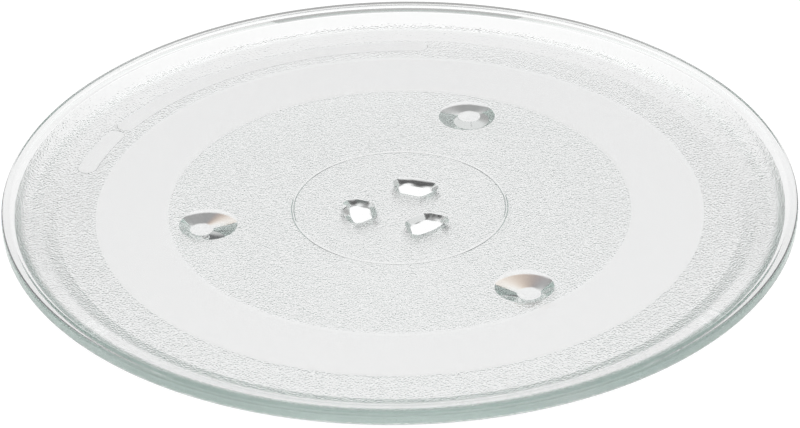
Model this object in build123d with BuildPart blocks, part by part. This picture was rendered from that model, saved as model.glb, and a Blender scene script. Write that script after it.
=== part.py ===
from build123d import *
from math import radians, sin, tan
import os

# A pressed-glass turntable plate for a microwave oven, one solid, in millimetres.
# The origin is the middle of the plane that its three feet stand on, with +Z up.
# One foot and one drive lug lie on the +Y side, and the other two pairs follow at equal turns.

# Plate and rim
plate_diameter = 315.0
floor_thickness = 5.0
rim_height = 10.7  # from the underside of the floor to the flat top of the lip
lip_width = 4.7  # flat top
lip_face_height = 4.6  # upright outer face
lip_under_width = 3.9  # the lip's lower side, which falls a little towards the axis
lip_under_fall = 0.5
food_wall_run = 10.6  # from the floor to the lip's inner edge, measured level
food_side_bend = 4.5  # radius where the floor turns up into the rim
lip_inner_fillet = 0.6
lip_outer_fillet = 0.9
lip_lower_chamfer = 0.6
lip_root_chamfer = 0.4

# The underside rises gently towards the rim, then steeply to the lip
under_wall_run = 3.6
rise_run = 12.7
rise_height = 2.3
underside_bend = 8.0

# Smooth track on the underside, where the rollers run
outer_field_width = 15.8  # between the track and the rise
track_width = 30.5
track_height = 0.12
track_shoulder = 2.4  # width of the slope at each edge of the track

# Fine ridge left by the joint of the mould's centre plug
ridge_diameter = 85.0
ridge_width = 1.0
ridge_height = 0.25
ridge_shoulder = 0.3

# Lugs and feet share one pattern about the plate's axis
pattern_count = 3
pattern_angle = 90.0

# Drive lugs, ring sectors that the coupling's arms reach between
lug_height = 4.6
lug_half_angle = 29.0
lug_root_radius = 22.8
lug_end_radius = 20.0
lug_root_flat = 9.8  # from the axis to the straight inner face
lug_end_flat = 10.4
lug_side_run = 0.9  # how far each side leans in towards the end
lug_inner_corner = 2.0
lug_outer_corner = 3.5
lug_end_chamfer = 0.4

# Feet, cones whose ends lean towards the rim
foot_height = 5.0
foot_root_radius = 11.6
foot_root_inset = 14.6  # from the track's inner edge to the middle of the root
foot_end_radius = 4.6
foot_lean = 2.9
foot_end_chamfer = 0.3

# Two plain smooth pads in the outer field of the underside
pad_inset = 2.9  # from the rise
pad_width = 7.6
pad_height = 0.12
long_pad_start = 107.7
long_pad_sweep = 63.0
short_pad_start = 174.7
short_pad_sweep = 12.0

# Levels, radii and directions that follow
floor_underside = foot_height
floor_top = floor_underside + floor_thickness
lip_top = floor_underside + rim_height
lip_under = lip_top - lip_face_height
lug_end_level = floor_underside - lug_height
plate_radius = plate_diameter / 2
lip_root_radius = plate_radius - lip_under_width
under_wall_radius = lip_root_radius - under_wall_run
rise_radius = under_wall_radius - rise_run
pad_pitch_radius = rise_radius - pad_inset - pad_width / 2
track_outer_radius = rise_radius - outer_field_width
track_inner_radius = track_outer_radius - track_width
foot_root_pitch = track_inner_radius - foot_root_inset
foot_end_pitch = foot_root_pitch + foot_lean
ridge_inner_radius = (ridge_diameter - ridge_width) / 2
ridge_outer_radius = (ridge_diameter + ridge_width) / 2
underside = Plane(origin=(0, 0, floor_underside), x_dir=(1, 0, 0), z_dir=(0, 0, -1))

# Corners of the rim's section, from the underside round the lip to the food side
under_wall_foot = Vector(under_wall_radius, floor_underside + rise_height)
lip_root = Vector(lip_root_radius, lip_under - lip_under_fall)
lip_lower_edge = Vector(plate_radius, lip_under)
lip_outer_edge = Vector(plate_radius, lip_top)
lip_inner_edge = Vector(plate_radius - lip_width, lip_top)
food_wall_foot = Vector(plate_radius - lip_width - food_wall_run, floor_top)


def raised_band(inner_radius, outer_radius, height, shoulder):
    """Section points of a band that stands proud of the underside, from the axis outwards."""
    return [
        (inner_radius, floor_underside),
        (inner_radius + shoulder, floor_underside - height),
        (outer_radius - shoulder, floor_underside - height),
        (outer_radius, floor_underside),
    ]


def lug_outline(outer_radius, inner_flat, side_inset):
    """A lug's outline about +X: a disc between two sides and a straight inner face, with round corners."""
    spread = tan(radians(lug_half_angle))
    apex = side_inset / sin(radians(lug_half_angle))
    inner_half_width = (inner_flat - apex) * spread
    outer_half_width = (outer_radius - apex) * spread
    with BuildSketch() as outline:
        Circle(outer_radius)
        Polygon(
            (inner_flat, -inner_half_width),
            (outer_radius, -outer_half_width),
            (outer_radius, outer_half_width),
            (inner_flat, inner_half_width),
            align=None,
            mode=Mode.INTERSECT,
        )
        fillet(outline.vertices().sort_by(SortBy.DISTANCE)[-2:], lug_outer_corner)
        fillet(outline.vertices().sort_by(Axis.X)[:2], lug_inner_corner)
    return outline.sketch


with BuildPart() as plate:
    # The turned body: floor, ridge, roller track, sloped rim and flat lip
    with BuildSketch(Plane.XZ) as section:
        with BuildLine():
            Polyline(
                (0, floor_underside),
                *raised_band(ridge_inner_radius, ridge_outer_radius, ridge_height, ridge_shoulder),
                *raised_band(track_inner_radius, track_outer_radius, track_height, track_shoulder),
                (rise_radius, floor_underside),
                under_wall_foot,
                lip_root,
                lip_lower_edge,
                lip_outer_edge,
                lip_inner_edge,
                food_wall_foot,
                (0, floor_top),
                close=True,
            )
        make_face()
        fillet(section.vertices().sort_by_distance(food_wall_foot)[0], food_side_bend)
        fillet(section.vertices().sort_by_distance(lip_inner_edge)[0], lip_inner_fillet)
        fillet(section.vertices().sort_by_distance(lip_outer_edge)[0], lip_outer_fillet)
        chamfer(section.vertices().sort_by_distance(lip_lower_edge)[0], lip_lower_chamfer)
        chamfer(section.vertices().sort_by_distance(lip_root)[0], lip_root_chamfer)
        fillet(section.vertices().sort_by_distance(under_wall_foot)[0], underside_bend)
    revolve(axis=Axis.Z)

    for turn in range(pattern_count):
        pattern_turn = pattern_angle + turn * 360 / pattern_count

        # A drive lug, whose outer side slopes most
        with BuildSketch(Plane.XY.offset(floor_underside)) as lug_root:
            add(lug_outline(lug_root_radius, lug_root_flat, 0), rotation=pattern_turn)
        with BuildSketch(Plane.XY.offset(lug_end_level)) as lug_end:
            add(lug_outline(lug_end_radius, lug_end_flat, lug_side_run), rotation=pattern_turn)
        loft()

        # A foot, a leaning cone from a wide root to a small flat end
        with BuildSketch(Plane.XY.offset(floor_underside)) as foot_root:
            with PolarLocations(foot_root_pitch, 1, start_angle=pattern_turn):
                Circle(foot_root_radius)
        with BuildSketch(Plane.XY) as foot_end:
            with PolarLocations(foot_end_pitch, 1, start_angle=pattern_turn):
                Circle(foot_end_radius)
        loft()
    chamfer(plate.edges().filter_by_position(Axis.Z, lug_end_level, lug_end_level), lug_end_chamfer)
    chamfer(plate.edges().filter_by_position(Axis.Z, 0, 0), foot_end_chamfer)

    # Smooth pads that follow the rim
    with BuildSketch(underside) as pads:
        SlotArc(CenterArc((0, 0), pad_pitch_radius, -long_pad_start, -long_pad_sweep), pad_width)
        SlotArc(CenterArc((0, 0), pad_pitch_radius, -short_pad_start, -short_pad_sweep), pad_width)
    extrude(amount=pad_height)

os.makedirs("parts", exist_ok=True)
plate.part.label = "turntable_plate"
export_step(plate.part, "parts/turntable_plate.step")
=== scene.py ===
"""A pressed-glass turntable plate for a microwave oven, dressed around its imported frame.

One closed glass mesh, worked out with numpy from the sizes of the solid, stands for the solid, so that light
bends through smooth walls. The stipple pressed into the underside is a bump in the glass itself.
"""

import logging
from dataclasses import dataclass, field
from enum import Enum
from typing import Any

import bmesh
import bpy
import numpy as np
from mathutils import Matrix, Vector


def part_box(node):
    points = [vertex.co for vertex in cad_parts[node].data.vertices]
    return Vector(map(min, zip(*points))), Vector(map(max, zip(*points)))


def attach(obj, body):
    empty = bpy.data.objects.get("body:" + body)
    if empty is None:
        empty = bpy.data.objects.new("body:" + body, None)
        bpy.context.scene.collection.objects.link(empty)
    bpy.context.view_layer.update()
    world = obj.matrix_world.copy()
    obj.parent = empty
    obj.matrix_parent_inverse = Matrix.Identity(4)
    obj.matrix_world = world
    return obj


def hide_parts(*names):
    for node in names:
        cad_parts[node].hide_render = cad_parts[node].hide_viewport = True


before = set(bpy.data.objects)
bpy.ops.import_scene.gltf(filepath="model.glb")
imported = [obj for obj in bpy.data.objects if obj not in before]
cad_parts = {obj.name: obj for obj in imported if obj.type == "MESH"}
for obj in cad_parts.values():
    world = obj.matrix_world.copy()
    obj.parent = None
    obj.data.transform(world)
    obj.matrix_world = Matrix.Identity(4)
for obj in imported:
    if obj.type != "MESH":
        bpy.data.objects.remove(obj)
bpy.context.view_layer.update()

MM = 0.001
NODE = "turntable_plate"
BODY = "root"
LOG = logging.getLogger(NODE)

Colour = tuple[float, float, float, float]
Span = tuple[float, float]
WHITE: Colour = (1.0, 1.0, 1.0, 1.0)

HEM_LIMIT = 1 / 4  # largest share of a run that a hem may take
LOW_HEM = 1 / 4  # share of the plate's hem that bands and pads take
WALL_HEM = 1 / 2  # share of the plate's hem that lugs and feet take
STRAIGHT = np.array([0.0, 1.0])  # shares of a run that needs no points between its ends


class Turn(Enum):
    """How the columns of a grid of points run."""

    OPEN = "from one edge to the other"
    CLOSED = "round a loop"


class Blend(Enum):
    """How a Mix node puts two colours together."""

    MIX = "MIX"
    MULTIPLY = "MULTIPLY"


@dataclass(frozen=True)
class Patch:
    """Part of a surface: its points in metres, and the quads that join them."""

    points: np.ndarray
    quads: np.ndarray


def grid_patch(points: np.ndarray, turn: Turn) -> Patch:
    """Joins a grid of points into quads.

    Formula: point (i, j) is joined to (i, j + 1), (i + 1, j + 1) and (i + 1, j), and a closed grid also joins
    its last column to its first.

    Args:
        points: rows by columns by three coordinates.
        turn: whether the columns run round a loop.

    Returns:
        The patch.
    """
    rows, columns = points.shape[:2]
    index = np.arange(rows * columns).reshape(rows, columns)
    if turn is Turn.CLOSED:
        index = np.concatenate([index, index[:, :1]], axis=1)
    quads = np.stack([index[:-1, :-1], index[:-1, 1:], index[1:, 1:], index[1:, :-1]], axis=-1)
    return Patch(points.reshape(-1, 3), quads.reshape(-1, 4))


def turned(profile: np.ndarray, angles: np.ndarray, turn: Turn) -> Patch:
    """Turns a profile about the plate's axis: x = r cos a, y = r sin a, z = h.

    Args:
        profile: rows of radius and height.
        angles: angles in radians, one per column.
        turn: whether the angles go all the way round.

    Returns:
        The turned patch.
    """
    radius = profile[:, :1]
    height = np.broadcast_to(profile[:, 1:], (len(profile), len(angles)))
    points = np.stack([radius * np.cos(angles), radius * np.sin(angles), height], axis=-1)
    return grid_patch(points, turn)


def ruled(inner: np.ndarray, outer: np.ndarray, shares: np.ndarray) -> Patch:
    """Fills the space between two closed loops with straight lines: p = a + s (b - a).

    Args:
        inner: points of one loop.
        outer: the matching points of the other loop, or one point for all.
        shares: rising shares of the way, from 0 to 1.

    Returns:
        The ruled patch.
    """
    points = inner[None] + shares[:, None, None] * (outer - inner)[None]
    return grid_patch(points, Turn.CLOSED)


def carried(path: np.ndarray, normals: np.ndarray, profile: np.ndarray) -> np.ndarray:
    """Carries a profile round a closed flat path: p = path + offset times normal, at the profile's height.

    Args:
        path: points of the path, x and y.
        normals: outward unit normals of the path, x and y.
        profile: rows by one or all of the path's points by offset and height.

    Returns:
        Rows by path points by three coordinates.
    """
    flat = path[None] + profile[..., :1] * normals[None]
    height = np.broadcast_to(profile[..., 1:], (*flat.shape[:2], 1))
    return np.concatenate([flat, height], axis=-1)


def rounded(corners: np.ndarray, radii: np.ndarray, step: float) -> np.ndarray:
    """Rounds the corners of an open outline, or of many at once, with tangent arcs.

    Formula: at a corner with unit arms u and v, the arc's centre lies on u + v, and its points are the centre
    plus the spherical blend of the directions to its two tangent points.

    Args:
        corners: corners by any number of outlines by two coordinates.
        radii: radius at each corner.
        step: largest angle between two points of an arc, in radians.

    Returns:
        The points of the rounded outlines, in the same order.
    """
    runs = [corners[:1]]
    for before, corner, after, radius in zip(corners[:-2], corners[1:-1], corners[2:], radii[1:-1]):
        arm_in = unit(before - corner)
        arm_out = unit(after - corner)
        half = np.arccos(np.clip((arm_in * arm_out).sum(axis=-1, keepdims=True), -1, 1)) / 2
        centre = corner + unit(arm_in + arm_out) * radius / np.sin(half)
        start = corner + arm_in * radius / np.tan(half) - centre
        end = corner + arm_out * radius / np.tan(half) - centre
        sweep = np.pi - 2 * half
        share = np.linspace(0, 1, int(np.ceil(sweep.max() / step)) + 1)
        share = share.reshape(-1, *[1] * corner.ndim)
        blend = np.sin((1 - share) * sweep) * start + np.sin(share * sweep) * end
        runs.append(centre + blend / np.sin(sweep))
    runs.append(corners[-1:])
    return np.concatenate(runs)


def hemmed(profile: np.ndarray, hem: float) -> np.ndarray:
    """Adds a point close to both ends of each long straight run, so that shading stays flat on it.

    Formula: a run longer than four hems gets points one hem from its start and one hem before its end.

    Args:
        profile: rows of points, of one outline or of many.
        hem: distance of the added points from the run's ends.

    Returns:
        The profile with its added rows.
    """
    rows = [profile[:1]]
    for start, end in zip(profile[:-1], profile[1:]):
        share = hem / np.linalg.norm(end - start, axis=-1).mean()
        stops = [share, 1 - share, 1.0] if share < HEM_LIMIT else [1.0]
        rows.append(np.stack([start + stop * (end - start) for stop in stops]))
    return np.concatenate(rows)


def unit(vectors: np.ndarray) -> np.ndarray:
    """Scales vectors to length 1."""
    return vectors / np.linalg.norm(vectors, axis=-1, keepdims=True)


def flat_points(path: np.ndarray, height: float) -> np.ndarray:
    """Lays a path of x and y at one height."""
    return np.concatenate([path, np.full((len(path), 1), height)], axis=1)


def turn_points(path: np.ndarray, angle: float) -> np.ndarray:
    """Turns points of x and y about the plate's axis."""
    cos, sin = np.cos(angle), np.sin(angle)
    return path @ np.array([[cos, sin], [-sin, cos]])


def polar_points(radius: np.ndarray | float, angle: np.ndarray | float) -> np.ndarray:
    """Points of x and y at polar places."""
    radius, angle = np.broadcast_arrays(radius, angle)
    return np.stack([radius * np.cos(angle), radius * np.sin(angle)], axis=-1)


def sector_loop(low: float, high: float, steps: int, angles: np.ndarray) -> np.ndarray:
    """Goes round a ring sector: out along its outer arc, in, back along its inner arc, and out again.

    Args:
        low: inner radius.
        high: outer radius.
        steps: steps along each straight side.
        angles: angles of the arcs' points.

    Returns:
        Points of the closed loop.
    """
    inwards = np.linspace(high, low, steps + 1)[1:-1]
    return np.concatenate([
        polar_points(high, angles),
        polar_points(inwards, angles[-1]),
        polar_points(low, angles[::-1]),
        polar_points(inwards[::-1], angles[0]),
    ])


class Wire:
    """A shader socket that Python arithmetic works on."""

    def __init__(self, graph: "Graph", socket: bpy.types.NodeSocket) -> None:
        """Keeps the graph that the socket belongs to."""
        self.graph = graph
        self.socket = socket

    def _maths(self, operation: str, *values: Any) -> "Wire":
        """Adds one Math node."""
        return self.graph.node("ShaderNodeMath", {"operation": operation}, dict(enumerate(values)))

    def __sub__(self, other: Any) -> "Wire":
        """Takes a value away."""
        return self._maths("SUBTRACT", self, other)

    def __rsub__(self, other: Any) -> "Wire":
        """Takes the socket away from a value."""
        return self._maths("SUBTRACT", other, self)

    def __mul__(self, other: Any) -> "Wire":
        """Multiplies by a value."""
        return self._maths("MULTIPLY", self, other)

    __rmul__ = __mul__

    def highest(self, other: Any) -> "Wire":
        """Takes the larger of two values."""
        return self._maths("MAXIMUM", self, other)

    def ramp(self, low: float, high: float) -> "Wire":
        """Eases from 0 at one value to 1 at another."""
        inputs = {"Value": self, "From Min": low, "From Max": high}
        return self.graph.node("ShaderNodeMapRange", {"interpolation_type": "SMOOTHSTEP"}, inputs)


class Graph:
    """A node tree that grows by expressions."""

    # Numbers of a Mix node's sockets for colours
    MIX_SHARE, MIX_FIRST, MIX_SECOND, MIX_RESULT = 0, 6, 7, 2

    def __init__(self, tree: bpy.types.NodeTree) -> None:
        """Empties the tree."""
        self.tree = tree
        tree.nodes.clear()

    def node(self, kind: str, settings: dict[str, Any] | None = None, inputs: dict[Any, Any] | None = None,
             output: str | int = 0) -> Wire:
        """Adds one node.

        Args:
            kind: the node's type.
            settings: the node's own properties, set first.
            inputs: values or wires for its input sockets, by name or number.
            output: name or number of the output socket that is returned.

        Returns:
            The output as a wire, or the first input of a node that has no output.
        """
        made = self.tree.nodes.new(kind)
        for name, value in (settings or {}).items():
            setattr(made, name, value)
        for name, value in (inputs or {}).items():
            if isinstance(value, Wire):
                self.tree.links.new(value.socket, made.inputs[name])
            else:
                made.inputs[name].default_value = value
        return Wire(self, made.outputs[output]) if made.outputs else Wire(self, made.inputs[0])

    def blend(self, share: Wire | float, first: Any, second: Any, kind: Blend = Blend.MIX) -> Wire:
        """Puts two colours together.

        Args:
            share: how much of the second colour is used.
            first: one colour.
            second: the other colour.
            kind: how they are put together.

        Returns:
            The new colour.
        """
        settings = {"data_type": "RGBA", "blend_type": kind.value}
        inputs = {self.MIX_SHARE: share, self.MIX_FIRST: first, self.MIX_SECOND: second}
        return self.node("ShaderNodeMix", settings, inputs, self.MIX_RESULT)


@dataclass(frozen=True)
class PressedGlass:
    """Clear soda-lime glass: polished where it is smooth, stippled where the mould was grained."""

    ior: float = 1.52
    clear_tint: Colour = (0.20, 0.78, 0.58, 1.0)
    tint_density: float = 1.2
    grain_size: float = 0.75 * MM
    grain_height: float = 0.26 * MM
    grain_mean: float = 0.5
    grain_detail: float = 1.0
    grain_falloff: float = 0.4
    grain_roughness: float = 0.02
    level_ease: float = 0.03 * MM
    top_ease: float = 0.15 * MM
    rim_ease: float = 0.3 * MM

    def material(self, field_level: float, field_top: float, rim_radius: float,
                 rim_top: float) -> bpy.types.Material:
        """Makes the glass.

        The stipple lies only between two levels: the flat of the underside, below which the smooth track, pads,
        feet and lugs stand proud, and a height below the food side, which is greater under the rim.

        Args:
            field_level: height of the underside's flat, in metres.
            field_top: height that the stipple stays below within the rim.
            rim_radius: distance from the axis at which the stipple may reach higher.
            rim_top: height at which the stipple ends under the rim.

        Returns:
            The material.
        """
        made = bpy.data.materials.new("pressed_glass")
        made.use_nodes = True
        graph = Graph(made.node_tree)
        place = graph.node("ShaderNodeTexCoord", output="Object")
        height = graph.node("ShaderNodeSeparateXYZ", inputs={0: place}, output="Z")
        above = height.ramp(field_level - 2 * self.level_ease, field_level - self.level_ease)
        level_place = graph.node("ShaderNodeVectorMath", {"operation": "MULTIPLY"},
                                 {0: place, 1: (1, 1, 0)}, "Vector")
        radius = graph.node("ShaderNodeVectorMath", {"operation": "LENGTH"}, {0: level_place}, "Value")
        lift = radius.ramp(rim_radius - self.rim_ease, rim_radius) * (rim_top - field_top)
        below = 1 - (height - lift).ramp(field_top - self.top_ease, field_top)
        stipple = above * below
        grain = graph.node("ShaderNodeTexNoise", {"noise_dimensions": "3D"}, {
            "Vector": place,
            "Scale": 1 / self.grain_size,
            "Detail": self.grain_detail,
            "Roughness": self.grain_falloff,
        })
        relief = graph.node("ShaderNodeBump", {}, {
            "Height": (grain - self.grain_mean) * stipple,
            "Strength": 1.0,
            "Distance": self.grain_height,
        })
        surface = graph.node("ShaderNodeBsdfPrincipled", {}, {
            "Base Color": WHITE,
            "Roughness": stipple * self.grain_roughness,
            "IOR": self.ior,
            "Transmission Weight": 1.0,
            "Normal": relief,
        })
        body = graph.node("ShaderNodeVolumeAbsorption", {}, {
            "Color": self.clear_tint,
            "Density": self.tint_density,
        })
        graph.node("ShaderNodeOutputMaterial", {}, {"Surface": surface, "Volume": body})
        return made


@dataclass
class Rim:
    """The plate's turned outside: the food side, the wall up to a flat lip, and the rising underside."""

    plate_radius: float
    floor_top: float
    floor_underside: float
    height: float = 10.7 * MM
    food_foot: float = 142.2 * MM
    lip_inner: float = 154.1 * MM
    lip_face_height: float = 4.6 * MM
    lip_under_inner: float = 153.6 * MM
    lip_under_fall: float = 0.5 * MM
    rise_inner: float = 135.6 * MM
    rise_outer: float = 150.0 * MM
    rise_height: float = 2.3 * MM
    food_side_bend: float = 4.5 * MM
    inner_edge: float = 0.15 * MM
    outer_edge: float = 1.1 * MM
    lower_edge: float = 0.8 * MM
    lip_under_bend: float = 0.8 * MM
    underside_bend: float = 8.0 * MM
    rise_bend: float = 1.5 * MM

    def corners(self, inner_radius: float) -> np.ndarray:
        """Sharp corners of the section, from the food side's middle round to the underside.

        Formula: the wall rises straight from its foot on the food side to the lip, which is flat with an
        upright outer face and falls a little on its lower side, and the underside falls from there first
        steeply and then gently.

        Args:
            inner_radius: radius on the underside where the section ends.

        Returns:
            Rows of radius and height.
        """
        lip_top = self.floor_underside + self.height
        lip_under = lip_top - self.lip_face_height
        return np.array([
            (0.0, self.floor_top),
            (self.food_foot, self.floor_top),
            (self.lip_inner, lip_top),
            (self.plate_radius, lip_top),
            (self.plate_radius, lip_under),
            (self.lip_under_inner, lip_under - self.lip_under_fall),
            (self.rise_outer, self.floor_underside + self.rise_height),
            (self.rise_inner, self.floor_underside),
            (inner_radius, self.floor_underside),
        ])

    def profile(self, step: float, hem: float, inner_radius: float) -> np.ndarray:
        """Radii and heights of the section, ending on the flat underside.

        Args:
            step: largest angle between two points of an arc, in radians.
            hem: distance of the points that keep flat runs flat.
            inner_radius: radius on the underside where the section ends.

        Returns:
            The section's points.
        """
        radii = np.array([
            0, self.food_side_bend, self.inner_edge, self.outer_edge, self.lower_edge, self.lip_under_bend,
            self.underside_bend, self.rise_bend, 0,
        ])
        return hemmed(rounded(self.corners(inner_radius), radii, step), hem)


@dataclass
class RaisedBand:
    """A turned band that stands proud of the underside, such as the roller track."""

    inner_radius: float
    outer_radius: float
    height: float
    shoulder: float
    corner_radius: float

    def profile(self, level: float, step: float, hem: float) -> np.ndarray:
        """Radii and heights of the band's section, from its outer edge inwards.

        Args:
            level: height of the underside.
            step: largest angle between two points of an arc, in radians.
            hem: reach of the flat on both sides of the band.

        Returns:
            The section's points.
        """
        corners = np.array([
            (self.outer_radius + hem, level),
            (self.outer_radius, level),
            (self.outer_radius - self.shoulder, level - self.height),
            (self.inner_radius + self.shoulder, level - self.height),
            (self.inner_radius, level),
            (self.inner_radius - hem, level),
        ])
        radii = np.array([0, *[self.corner_radius] * 4, 0])
        return hemmed(rounded(corners, radii, step), hem * LOW_HEM)


@dataclass
class DriveLug:
    """One of the lugs that the coupling's arms reach between: a ring sector with a straight inner face."""

    height: float = 4.6 * MM
    outer_radius: float = 22.8 * MM
    inner_flat: float = 9.8 * MM
    half_angle: float = np.radians(29.0)
    inner_corner: float = 3.4 * MM
    outer_corner: float = 4.2 * MM
    outer_run: float = 2.8 * MM
    side_run: float = 1.7 * MM
    inner_run: float = 1.7 * MM
    root_fillet: float = 0.4 * MM
    end_fillet: float = 0.4 * MM
    table_steps: int = 400

    def middle(self) -> float:
        """Distance of the lug's middle from the axis."""
        return (self.inner_flat + self.outer_radius) / 2

    def half_outline(self) -> tuple[np.ndarray, np.ndarray]:
        """Half of the lug's outline with its normals, from its outer arc's middle to its inner face's.

        Formula: the outer arc, a corner arc tangent to it and to the side, the side along a radius, a corner
        arc tangent to the side and to the inner face, and half of that face.

        Returns:
            Points and outward normals, x and y, where the lug's axis is +X.
        """
        side_normal = self.half_angle + np.pi / 2
        core = self.outer_radius - self.outer_corner
        corner_angle = self.half_angle - np.arcsin(self.outer_corner / core)
        outer_centre = polar_points(core, corner_angle)
        inner_centre_x = self.inner_flat + self.inner_corner
        inner_centre = np.array([
            inner_centre_x,
            (inner_centre_x * np.sin(self.half_angle) - self.inner_corner) / np.cos(self.half_angle),
        ])
        share = np.linspace(0, 1, self.table_steps)
        outer_turn = corner_angle * share
        outer_corner_turn = corner_angle + (side_normal - corner_angle) * share
        inner_corner_turn = side_normal + (np.pi - side_normal) * share
        face_end = np.array([self.inner_flat, 0.0])
        face_start = np.array([self.inner_flat, inner_centre[1]])
        points = np.concatenate([
            polar_points(self.outer_radius, outer_turn),
            outer_centre + polar_points(self.outer_corner, outer_corner_turn),
            inner_centre + polar_points(self.inner_corner, inner_corner_turn),
            face_start + share[:, None] * (face_end - face_start),
        ])
        turns = np.concatenate([outer_turn, outer_corner_turn, inner_corner_turn, np.full(share.shape, np.pi)])
        return points, polar_points(1.0, turns)

    def outline_towards(self, targets: np.ndarray) -> tuple[np.ndarray, np.ndarray]:
        """Points of the outline that lie between the lug's middle and some points around it.

        Formula: both halves mirror each other, so the outline is read by the size of the angle about the
        middle.

        Args:
            targets: points around the lug, where its axis is +X.

        Returns:
            Points and outward normals, one per target.
        """
        points, normals = self.half_outline()
        turn = np.arctan2(points[:, 1], points[:, 0] - self.middle())
        wanted = np.arctan2(targets[:, 1], targets[:, 0] - self.middle())
        side = np.where(wanted < 0, -1.0, 1.0)
        read = [np.interp(np.abs(wanted), turn, values) for values in (*points.T, *normals.T)]
        return np.stack([read[0], read[1] * side], axis=1), np.stack([read[2], read[3] * side], axis=1)

    def run(self, normals: np.ndarray) -> np.ndarray:
        """How far the wall leans in between its root and its end.

        Formula: the outer, the side and the inner faces have a run each, and between them it follows the turn
        of the normal.

        Args:
            normals: outward unit normals of the outline, x and y.

        Returns:
            The run at each of them.
        """
        turn = np.abs(np.arctan2(normals[:, 1], normals[:, 0]))
        stops = [0.0, self.half_angle, self.half_angle + np.pi / 2, np.pi]
        return np.interp(turn, stops, [self.outer_run, self.outer_run, self.side_run, self.inner_run])

    def profile(self, normals: np.ndarray, level: float, step: float, hem: float) -> np.ndarray:
        """Offsets and heights of the lug's wall, from the underside round to its flat end.

        Args:
            normals: outward unit normals of the outline, x and y.
            level: height of the underside.
            step: largest angle between two points of an arc, in radians.
            hem: reach of the flats past the fillets.

        Returns:
            Rows by outline points by offset and height.
        """
        run = self.run(normals)
        hem_end = self.end_fillet + hem * WALL_HEM
        end_level = level - self.height
        corners = np.stack([
            np.stack(np.broadcast_arrays(offset, np.full(run.shape, height)), axis=1) for offset, height in (
                (self.root_fillet + hem, level),
                (0.0, level),
                (-run, end_level),
                (-run - hem_end, end_level),
            )
        ])
        radii = np.array([0, self.root_fillet, self.end_fillet, 0])
        return hemmed(rounded(corners, radii, step), hem * WALL_HEM)


@dataclass
class Foot:
    """One of the feet: a cone that leans towards the rim, with a small flat end."""

    root_radius: float = 11.6 * MM
    root_pitch: float = 76.4 * MM
    end_radius: float = 4.6 * MM
    end_pitch: float = 79.3 * MM
    root_fillet: float = 0.8 * MM
    end_fillet: float = 0.6 * MM

    def cone(self, directions: np.ndarray, level: float, step: float, hem: float) -> np.ndarray:
        """Points of the cone, where the foot's axis is +X.

        Formula: each ring is a circle whose radius and height follow the rounded section, and whose centre
        moves from the root's pitch to the end's in proportion to the depth.

        Args:
            directions: unit vectors round the foot, x and y.
            level: height of the underside; the end lies at 0.
            step: largest angle between two points of an arc, in radians.
            hem: reach of the flats past the fillets.

        Returns:
            Rings by directions by three coordinates.
        """
        corners = np.array([
            (self.root_radius + self.root_fillet + hem, level),
            (self.root_radius, level),
            (self.end_radius, 0.0),
            (self.end_radius - self.end_fillet - hem, 0.0),
        ])
        radii = np.array([0, self.root_fillet, self.end_fillet, 0])
        section = hemmed(rounded(corners, radii, step), hem * WALL_HEM)
        lean = self.root_pitch + (self.end_pitch - self.root_pitch) * (1 - section[:, 1] / level)
        rings = carried(np.zeros((1, 2)), directions, section[:, None])
        rings[..., 0] += lean[:, None]
        return rings


@dataclass
class Pad:
    """A plain smooth pad with round ends, which follows the rim in the stippled field."""

    start: float
    sweep: float
    pitch_radius: float = 130.6 * MM
    width: float = 7.6 * MM
    height: float = 0.12 * MM
    edge: float = 0.15 * MM

    def outline(self, arc_points: int, end_steps: int) -> tuple[np.ndarray, np.ndarray]:
        """The pad's outline with its normals, in the order of a ring sector's loop.

        Formula: two arcs half a width outside and inside the pitch circle, joined by half circles about the
        ends of the pitch arc.

        Args:
            arc_points: points along each long side.
            end_steps: steps round each end.

        Returns:
            Points and outward normals, x and y.
        """
        angles = self.start + self.sweep * np.linspace(0, 1, arc_points)
        swing = np.pi * np.linspace(0, 1, end_steps + 1)[1:-1]
        far, near = angles[-1], angles[0]
        turns = np.concatenate([angles, far + swing, angles[::-1] + np.pi, near + np.pi + swing])
        centres = np.concatenate([
            polar_points(self.pitch_radius, angles),
            np.broadcast_to(polar_points(self.pitch_radius, far), (len(swing), 2)),
            polar_points(self.pitch_radius, angles[::-1]),
            np.broadcast_to(polar_points(self.pitch_radius, near), (len(swing), 2)),
        ])
        normals = polar_points(1.0, turns)
        return centres + self.width / 2 * normals, normals

    def profile(self, level: float, step: float, hem: float) -> np.ndarray:
        """Offsets and heights of the pad's edge, from the stippled field to its face.

        Args:
            level: height of the underside.
            step: largest angle between two points of an arc, in radians.
            hem: reach of the flats past the edge.

        Returns:
            The section's points.
        """
        corners = np.array([
            (self.edge + hem, level),
            (self.edge, level),
            (0.0, level - self.height),
            (-hem - self.edge, level - self.height),
        ])
        radii = np.array([0, self.edge, self.edge, 0])
        return hemmed(rounded(corners, radii, step), hem * LOW_HEM)


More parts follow.
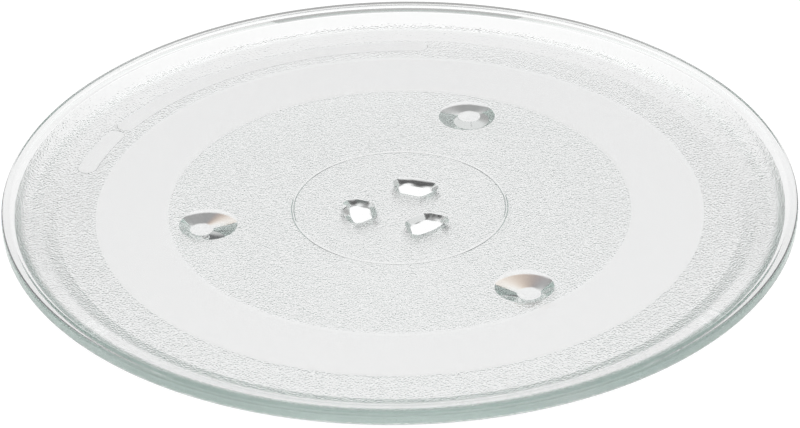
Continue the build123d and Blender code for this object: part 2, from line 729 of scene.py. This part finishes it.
@dataclass
class TurntablePlate:
    """The whole plate as one closed glass mesh."""

    glass: PressedGlass = field(default_factory=PressedGlass)
    floor_thickness: float = 5.0 * MM
    foot_height: float = 5.0 * MM
    stipple_rise: float = 4.7 * MM
    rim_stipple_rise: float = 5.6 * MM
    rim_stipple_radius: float = 151.0 * MM
    pattern_count: int = 3
    pattern_angle: float = np.radians(90.0)
    columns: int = 408
    arc_step: float = np.radians(6.0)
    hem: float = 0.25 * MM
    foot_zone: Span = (60.0 * MM, 90.3 * MM)
    foot_zone_columns: int = 19
    foot_zone_steps: int = 14
    pad_zone: Span = (125.0 * MM, 135.2 * MM)
    pad_zone_steps: int = 10
    lug_side_steps: int = 40
    inner_ring_steps: int = 2
    flat_shares: tuple[float, ...] = (0.0, 0.04, 0.35, 1.0)
    weld_reach: float = 0.002 * MM

    def __post_init__(self) -> None:
        """Works out the levels and the rim's radius from the frame's box, and sets up the turned features."""
        low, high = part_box(NODE)
        self.level = low.z + self.foot_height
        self.rim = Rim(
            plate_radius=(high.x - low.x) / 2,
            floor_top=self.level + self.floor_thickness,
            floor_underside=self.level,
        )
        self.track = RaisedBand(
            inner_radius=91.0 * MM,
            outer_radius=121.5 * MM,
            height=0.12 * MM,
            shoulder=2.4 * MM,
            corner_radius=5.0 * MM,
        )
        self.ridge = RaisedBand(
            inner_radius=41.8 * MM,
            outer_radius=43.2 * MM,
            height=0.32 * MM,
            shoulder=0.5 * MM,
            corner_radius=0.1 * MM,
        )
        self.lug = DriveLug()
        self.foot = Foot()
        self.pads = [
            Pad(start=np.radians(107.7), sweep=np.radians(63.0)),
            Pad(start=np.radians(174.7), sweep=np.radians(12.0)),
        ]
        self.turn = 2 * np.pi / self.columns
        self.round = np.arange(self.columns) * self.turn
        self.patterns = self.pattern_angle + np.arange(self.pattern_count) * 2 * np.pi / self.pattern_count

    def flat_profile(self, outer_radius: float, inner_radius: float, steps: int) -> np.ndarray:
        """Radii and heights of a flat stretch of the underside."""
        radii = np.linspace(outer_radius, inner_radius, steps + 1)
        return np.stack([radii, np.full(radii.shape, self.level)], axis=1)

    def ring(self, outer_radius: float, inner_radius: float, steps: int = 1) -> Patch:
        """A flat ring of the underside."""
        return turned(self.flat_profile(outer_radius, inner_radius, steps), self.round, Turn.CLOSED)

    def sectors(self, zone: Span, steps: int, spans: list[tuple[int, int]]) -> list[Patch]:
        """Flat stretches of a ring between spans that hold a feature.

        Args:
            zone: inner and outer radius of the ring.
            steps: steps across the ring.
            spans: first and last column of each span that is left open, in order.

        Returns:
            The stretches.
        """
        profile = self.flat_profile(zone[1], zone[0], steps)
        starts = [last for _, last in spans]
        ends = [first for first, _ in spans[1:]] + [spans[0][0] + self.columns]
        return [
            turned(profile, np.arange(start, end + 1) * self.turn, Turn.OPEN)
            for start, end in zip(starts, ends) if end > start
        ]

    def feature(self, wall: np.ndarray, middle: np.ndarray, edge: np.ndarray,
                angle: float = 0.0) -> list[Patch]:
        """A lug, foot or pad with the flat around it, turned into its place.

        Formula: straight lines close the wall's last row on the middle and lead from its first row to the edge.

        Args:
            wall: rows of points, from the underside to the feature's end.
            middle: the point that its end closes on, or one for each column of the wall, x and y.
            edge: border of the flat around it, x and y.
            angle: turn about the plate's axis.

        Returns:
            The wall, the end and the flat.
        """
        placed = np.concatenate([turn_points(wall[..., :2], angle), wall[..., 2:]], axis=-1)
        centre = flat_points(turn_points(middle, angle), wall[-1, 0, 2])
        border = flat_points(turn_points(edge, angle), self.level)
        return [
            grid_patch(placed, Turn.CLOSED),
            ruled(placed[-1], centre, STRAIGHT),
            ruled(placed[0], border, np.array(self.flat_shares)),
        ]

    def feet(self) -> list[Patch]:
        """The feet, each in a span of the inner field, and the flat stretches between them.

        Returns:
            All patches of the ring that holds the feet.
        """
        span = self.foot_zone_columns
        angles = np.arange(-span, span + 1) * self.turn
        edge = sector_loop(*self.foot_zone, self.foot_zone_steps, angles)
        directions = unit(edge - [self.foot.root_pitch, 0.0])
        cone = self.foot.cone(directions, self.level, self.arc_step, self.hem)
        middle = np.array([[self.foot.end_pitch, 0.0]])
        pieces = []
        spans = []
        for angle in self.patterns:
            pieces += self.feature(cone, middle, edge, angle)
            column = int(round(angle / self.turn))
            spans.append((column - span, column + span))
        return pieces + self.sectors(self.foot_zone, self.foot_zone_steps, spans)

    def lugs(self, radius: float) -> list[Patch]:
        """The drive lugs, each in its own third of the disc inside the ridge.

        Args:
            radius: outer radius of the disc.

        Returns:
            The lugs' walls and ends and the flats around them.
        """
        half = self.columns // (2 * self.pattern_count)
        angles = np.arange(-half, half + 1) * self.turn
        inwards = np.linspace(radius, 0, self.lug_side_steps + 1)[1:]
        edge = np.concatenate([
            polar_points(radius, angles),
            polar_points(inwards, angles[-1]),
            polar_points(inwards[-2::-1], angles[0]),
        ])
        path, normals = self.lug.outline_towards(edge)
        wall = carried(path, normals, self.lug.profile(normals, self.level, self.arc_step, self.hem))
        middle = np.array([[self.lug.middle(), 0.0]])
        return [patch for angle in self.patterns for patch in self.feature(wall, middle, edge, angle)]

    def pad_field(self) -> list[Patch]:
        """The plain pads, each in a span of the outer field, and the flat stretches between them.

        Returns:
            All patches of the ring that holds the pads.
        """
        pieces = []
        spans = []
        for pad in self.pads:
            half_end = pad.width / 2 / pad.pitch_radius
            first = int(np.floor((pad.start - half_end) / self.turn))
            last = int(np.ceil((pad.start + pad.sweep + half_end) / self.turn))
            angles = np.arange(first, last + 1) * self.turn
            edge = sector_loop(*self.pad_zone, self.pad_zone_steps, angles)
            path, normals = pad.outline(len(angles), self.pad_zone_steps)
            wall = carried(path, normals, pad.profile(self.level, self.arc_step, self.hem)[:, None])
            heading = np.arctan2(edge[:, 1], edge[:, 0]) % (2 * np.pi)
            spine = polar_points(pad.pitch_radius, np.clip(heading, pad.start, pad.start + pad.sweep))
            pieces += self.feature(wall, spine, edge)
            spans.append((first, last))
        return pieces + self.sectors(self.pad_zone, self.pad_zone_steps, spans)

    def patches(self) -> list[Patch]:
        """All the surface of the plate, from the food side round the rim and in along the underside.

        Returns:
            The patches, whose borders meet.
        """
        track_profile = self.track.profile(self.level, self.arc_step, self.hem)
        ridge_profile = self.ridge.profile(self.level, self.arc_step, self.hem)
        rim_profile = self.rim.profile(self.arc_step, self.hem, self.pad_zone[1])
        return [
            turned(rim_profile, self.round, Turn.CLOSED),
            *self.pad_field(),
            self.ring(self.pad_zone[0], track_profile[0, 0]),
            turned(track_profile, self.round, Turn.CLOSED),
            self.ring(track_profile[-1, 0], self.foot_zone[1]),
            *self.feet(),
            self.ring(self.foot_zone[0], ridge_profile[0, 0], self.inner_ring_steps),
            turned(ridge_profile, self.round, Turn.CLOSED),
            *self.lugs(ridge_profile[-1, 0]),
        ]

    def build(self) -> bpy.types.Object:
        """Makes the mesh, dresses it in glass and puts it in the solid's place.

        Returns:
            The finished piece.
        """
        patches = self.patches()
        firsts = np.cumsum([0] + [len(patch.points) for patch in patches[:-1]])
        points = np.concatenate([patch.points for patch in patches])
        quads = np.concatenate([patch.quads + first for patch, first in zip(patches, firsts)])
        mesh = bpy.data.meshes.new("plate_glass")
        mesh.from_pydata(points.tolist(), [], quads.tolist())
        self.close(mesh)
        mesh.materials.append(self.glass.material(
            field_level=self.level,
            field_top=self.level + self.stipple_rise,
            rim_radius=self.rim_stipple_radius,
            rim_top=self.level + self.rim_stipple_rise,
        ))
        piece = bpy.data.objects.new("plate_glass", mesh)
        bpy.context.scene.collection.objects.link(piece)
        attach(piece, BODY)
        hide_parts(NODE)
        LOG.info("%s: %d faces", piece.name, len(mesh.polygons))
        return piece

    def close(self, mesh: bpy.types.Mesh) -> None:
        """Welds the patches into one closed skin that faces outwards and shades smoothly.

        Args:
            mesh: the mesh of loose patches.
        """
        work = bmesh.new()
        work.from_mesh(mesh)
        bmesh.ops.remove_doubles(work, verts=work.verts, dist=self.weld_reach)
        bmesh.ops.recalc_face_normals(work, faces=work.faces)
        open_edges = sum(not edge.is_manifold for edge in work.edges)
        work.to_mesh(mesh)
        work.free()
        mesh.polygons.foreach_set("use_smooth", np.ones(len(mesh.polygons), dtype=bool))
        mesh.update()
        LOG.info("%s: %d open edges", mesh.name, open_edges)


@dataclass
class ContactShade:
    """A shade painted on the floor, and a patch of painted light under each lug's end, as if the feet and lugs
    bent a light from the far side away.
    """

    plate: TurntablePlate
    far: np.ndarray
    light_lean: float = np.radians(15.0)
    # limits of the painted shade for red, green and blue, spread apart to paint a brown fringe at its edge
    glass_limit: tuple[float, float, float] = (0.742, 0.752, 0.760)
    softness: float = 0.045
    # darkness of the painted shade under the feet and under the lugs
    depth: float = 0.38
    lug_depth: float = 0.10
    near_share: float = 0.12
    # brightness of the painted light on the floor under each lug's end
    lug_end_painted_light: float = 1.25
    spread: float = 0.8 * MM
    foot_edge: Span = (-0.3 * MM, 0.3 * MM)
    foot_sector: Span = (0.3, 0.95)
    lug_edge: Span = (-0.2 * MM, 0.3 * MM)
    lug_sector: Span = (-0.3, 0.3)
    lug_end_edge: Span = (-0.6 * MM, 0.0)

    @staticmethod
    def ease(values: np.ndarray, low: float, high: float) -> np.ndarray:
        """Eases from 0 at one value to 1 at another."""
        share = np.clip((values - low) / (high - low), 0, 1)
        return share * share * (3 - 2 * share)

    def strength(self, towards: np.ndarray, sector: Span) -> np.ndarray:
        """Strength of a shade, which grows from near_share on the camera's side to 1 on the far side."""
        return self.near_share + (1 - self.near_share) * self.ease(towards, *sector)

    def under_foot(self, points: np.ndarray, angle: float) -> np.ndarray:
        """Painted shade on the floor round one foot.

        Formula: the shade is painted as if a light that leans by light_lean inside the glass met the flank,
        whose slope grows towards the rim, and left it only where the cosine between the two passes the limit
        for each colour; the rest of the ring under the flank is painted dark, with a brown fringe between.

        Args:
            points: places on the floor, x and y.
            angle: direction of the foot from the plate's axis.

        Returns:
            Red, green and blue for each place.
        """
        foot = self.plate.foot
        away = turn_points(points, -angle) - [foot.end_pitch, 0.0]
        past_end = np.linalg.norm(away, axis=1) - foot.end_radius
        heading = np.arctan2(away[:, 1], away[:, 0])
        run = foot.root_radius - foot.end_radius - (foot.end_pitch - foot.root_pitch) * np.cos(heading)
        slope = np.arctan(self.plate.level / run)
        towards = np.cos(heading + angle - np.arctan2(self.far[1], self.far[0]))
        cosine = np.cos(self.light_lean) * np.cos(slope) - np.sin(self.light_lean) * np.sin(slope) * towards
        # painted light where the flank would let the light through, with brown fringes from the spread limits
        lit = self.ease(cosine[:, None] - np.array(self.glass_limit), -self.softness, self.softness)
        ring = self.ease(past_end, *self.foot_edge) * (1 - self.ease(past_end - run, 0.0, self.spread))
        ring *= self.strength(towards, self.foot_sector)
        return 1 - ring[:, None] * (1 - self.depth) * (1 - lit)

    def under_lug(self, points: np.ndarray, angle: float) -> np.ndarray:
        """Painted shade on the floor round one lug, and painted light under its end, as if its steep walls led
        light there.

        Formula: the painted shade starts at the edge of the lug's flat end, eases off past the wall's root and
        is weaker on the camera's side; within that edge the floor is painted brighter.

        Args:
            points: places on the floor, x and y.
            angle: direction of the lug from the plate's axis.

        Returns:
            Red, green and blue for each place.
        """
        lug = self.plate.lug
        local = turn_points(points, -angle)
        path, normals = lug.outline_towards(local)
        end = path - normals * lug.run(normals)[:, None]
        reach, root_reach, end_reach = [
            np.linalg.norm(places - [lug.middle(), 0.0], axis=1) for places in (local, path, end)
        ]
        past_end = reach - end_reach
        ring = self.ease(past_end, *self.lug_edge) * (1 - self.ease(reach - root_reach, 0.0, self.spread))
        ring *= self.strength(turn_points(normals, angle) @ self.far, self.lug_sector)
        # painted light on the floor under the lug's flat end
        within = 1 - self.ease(past_end, *self.lug_end_edge)
        painted_shading = 1 - (1 - self.lug_depth) * ring + (self.lug_end_painted_light - 1) * within
        return np.repeat(painted_shading[:, None], 3, axis=1)

    def painted_shading(self, points: np.ndarray) -> np.ndarray:
        """Painted shade and light on the whole floor: the product of the painted shades of all feet and lugs.

        Args:
            points: places on the floor, x and y.

        Returns:
            Red, green and blue for each place.
        """
        painted_shading = np.ones((len(points), 3))
        for angle in self.plate.patterns:
            painted_shading *= self.under_foot(points, angle) * self.under_lug(points, angle)
        return painted_shading


@dataclass
class Studio:
    """A pale floor, a soft lamp above the camera's side and a camera at the photograph's angle."""

    plate: TurntablePlate
    azimuth: float = np.radians(21.7)
    elevation: float = np.radians(31.53)
    roll: float = np.radians(-0.96)
    distance: float = 1543.0 * MM
    aim: tuple[float, float, float] = (0.06 * MM, -5.6 * MM, 7.9 * MM)
    focal_pixels: float = 3895.0
    image_width: float = 800.0
    sensor_width: float = 36.0
    floor_half_size: float = 4.0
    shade_reach: float = 96.0 * MM
    shade_steps: int = 260
    shade_name: str = "contact_shade"
    floor_glow: float = 0.86
    through_glow: float = 0.85
    floor_tone: Colour = (0.30, 0.30, 0.30, 1.0)
    cove_tone: Colour = (0.5, 0.5, 0.5, 1.0)
    wall_tone: Colour = (0.12, 0.12, 0.125, 1.0)
    room_tone: Colour = (0.45, 0.445, 0.44, 1.0)
    ceiling_tone: Colour = (0.8, 0.8, 0.8, 1.0)
    wall_rise: Span = (0.05, 0.25)
    wall_sector: Span = (-0.3, 0.4)
    ceiling_rise: Span = (0.62, 0.85)
    lamp_power: float = 20.0
    lamp_size: float = 1.2
    lamp_distance: float = 1.6
    lamp_elevation: float = np.radians(137.5)  # from the far horizon, past straight overhead
    bounces: int = 32

    def floor(self) -> bpy.types.Object:
        """A pale floor at the height that the feet stand on.

        Formula: a square grid, fine under the feet and lugs and coarse beyond, that carries the painted shade
        and light round the feet and lugs as a colour attribute.

        Returns:
            The floor.
        """
        fine = np.linspace(-self.shade_reach, self.shade_reach, self.shade_steps)
        stops = np.concatenate([[-self.floor_half_size], fine, [self.floor_half_size]])
        across, along = np.meshgrid(stops, stops)
        points = np.stack([across, along, np.zeros(across.shape)], axis=-1)
        patch = grid_patch(points, Turn.OPEN)
        mesh = bpy.data.meshes.new("studio_floor")
        mesh.from_pydata(patch.points.tolist(), [], patch.quads.tolist())
        # painted shade round the feet and lugs, and painted light under the lugs' ends
        painted_shading = ContactShade(self.plate, self.far()[:2]).painted_shading(patch.points[:, :2])
        colours = np.concatenate([painted_shading, np.ones((len(painted_shading), 1))], axis=1)
        shade = mesh.color_attributes.new(self.shade_name, "FLOAT_COLOR", "POINT")
        shade.data.foreach_set("color", colours.astype(np.float32).ravel())
        mesh.materials.append(self.floor_material())
        floor = bpy.data.objects.new("studio_floor", mesh)
        bpy.context.scene.collection.objects.link(floor)
        LOG.info("%s: %d faces", floor.name, len(mesh.polygons))
        return floor

    def far(self) -> np.ndarray:
        """Unit vector on the floor that points away from the camera."""
        return np.array([-np.sin(self.azimuth), np.cos(self.azimuth), 0.0])

    def floor_material(self) -> bpy.types.Material:
        """Matt grey that keeps shadows, with a glow that camera, mirror and glass rays see; the painted shade
        darkens or brightens both.

        Returns:
            The material, which is clear from below.
        """
        made = bpy.data.materials.new("studio_white")
        made.use_nodes = True
        graph = Graph(made.node_tree)
        camera, glossy, through = [
            graph.node("ShaderNodeLightPath", output=f"Is {kind} Ray")
            for kind in ("Camera", "Glossy", "Transmission")
        ]
        # the painted shade round the feet and lugs, and the painted light under the lugs' ends, scale both the
        # grey and the glow
        shade = graph.node("ShaderNodeAttribute", {"attribute_name": self.shade_name}, output="Color")
        paint = graph.blend(1.0, shade, self.floor_tone, Blend.MULTIPLY)
        matt = graph.node("ShaderNodeBsdfDiffuse", {}, {"Color": paint})
        seen, seen_through = [
            graph.node("ShaderNodeEmission", {}, {"Color": shade, "Strength": strength})
            for strength in (self.floor_glow, self.through_glow)
        ]
        bent = graph.node("ShaderNodeMixShader", {}, {0: glossy.highest(through), 2: seen_through})
        glow = graph.node("ShaderNodeMixShader", {}, {0: camera, 1: bent, 2: seen})
        white = graph.node("ShaderNodeAddShader", {}, {0: matt, 1: glow})
        clear = graph.node("ShaderNodeBsdfTransparent")
        back = graph.node("ShaderNodeNewGeometry", output="Backfacing")
        both = graph.node("ShaderNodeMixShader", {}, {0: back, 1: white, 2: clear})
        graph.node("ShaderNodeOutputMaterial", {}, {"Surface": both})
        return made

    def world(self) -> None:
        """A grey cove, a dim wall and a pale ceiling, a grey room on this side, and white for the camera."""
        made = bpy.data.worlds.new("studio_cove")
        made.use_nodes = True
        graph = Graph(made.node_tree)
        direction = graph.node("ShaderNodeTexCoord", output="Generated")
        ahead = graph.node("ShaderNodeVectorMath", {"operation": "DOT_PRODUCT"},
                           {0: direction, 1: self.far().tolist()}, "Value")
        height = graph.node("ShaderNodeSeparateXYZ", inputs={0: direction}, output="Z")
        behind = graph.blend(height.ramp(*self.wall_rise), self.cove_tone, self.wall_tone)
        sides = graph.blend(ahead.ramp(*self.wall_sector), self.room_tone, behind)
        around = graph.blend(height.ramp(*self.ceiling_rise), sides, self.ceiling_tone)
        camera = graph.node("ShaderNodeLightPath", output="Is Camera Ray")
        shown = graph.blend(camera, around, WHITE)
        sky = graph.node("ShaderNodeBackground", {}, {"Color": shown, "Strength": 1.0})
        graph.node("ShaderNodeOutputWorld", {}, {"Surface": sky})
        bpy.context.scene.world = made

    def lamp(self) -> None:
        """One large soft lamp, high on the camera's side, that mirror and glass rays don't see."""
        light = bpy.data.lights.new("softbox", "AREA")
        light.energy = self.lamp_power
        light.size = self.lamp_size
        lamp = bpy.data.objects.new("softbox", light)
        spin = Matrix.Rotation(self.azimuth, 4, "Z")
        tilt = Matrix.Rotation(self.lamp_elevation - np.pi / 2, 4, "X")
        lamp.matrix_world = spin @ tilt @ Matrix.Translation((0.0, 0.0, self.lamp_distance))
        lamp.visible_glossy = False
        lamp.visible_transmission = False
        bpy.context.scene.collection.objects.link(lamp)

    def camera(self) -> None:
        """The camera: it stands back from its aim along azimuth and elevation, and rolls about its own axis."""
        data = bpy.data.cameras.new("camera")
        data.sensor_width = self.sensor_width
        data.lens = self.focal_pixels * self.sensor_width / self.image_width
        camera = bpy.data.objects.new("camera", data)
        spin = Matrix.Rotation(self.azimuth, 4, "Z")
        tilt = Matrix.Rotation(np.pi / 2 - self.elevation, 4, "X")
        back = Vector((0.0, -np.cos(self.elevation), np.sin(self.elevation)))
        place = Matrix.Translation(Vector(self.aim) + back * self.distance)
        camera.matrix_world = spin @ place @ tilt @ Matrix.Rotation(self.roll, 4, "Z")
        bpy.context.scene.collection.objects.link(camera)
        bpy.context.scene.camera = camera

    def build(self) -> None:
        """Sets the stage."""
        self.floor()
        self.world()
        self.lamp()
        self.camera()
        scene = bpy.context.scene
        scene.view_settings.view_transform = "Standard"
        scene.cycles.max_bounces = self.bounces
        scene.cycles.glossy_bounces = self.bounces
        scene.cycles.transmission_bounces = self.bounces


def main() -> None:
    """Builds the plate and its stage, and logs their face counts and the glass's open edges."""
    logging.basicConfig(level=logging.INFO, format="%(name)s: %(message)s")
    plate = TurntablePlate()
    plate.build()
    Studio(plate).build()


if __name__ == "__main__":
    main()
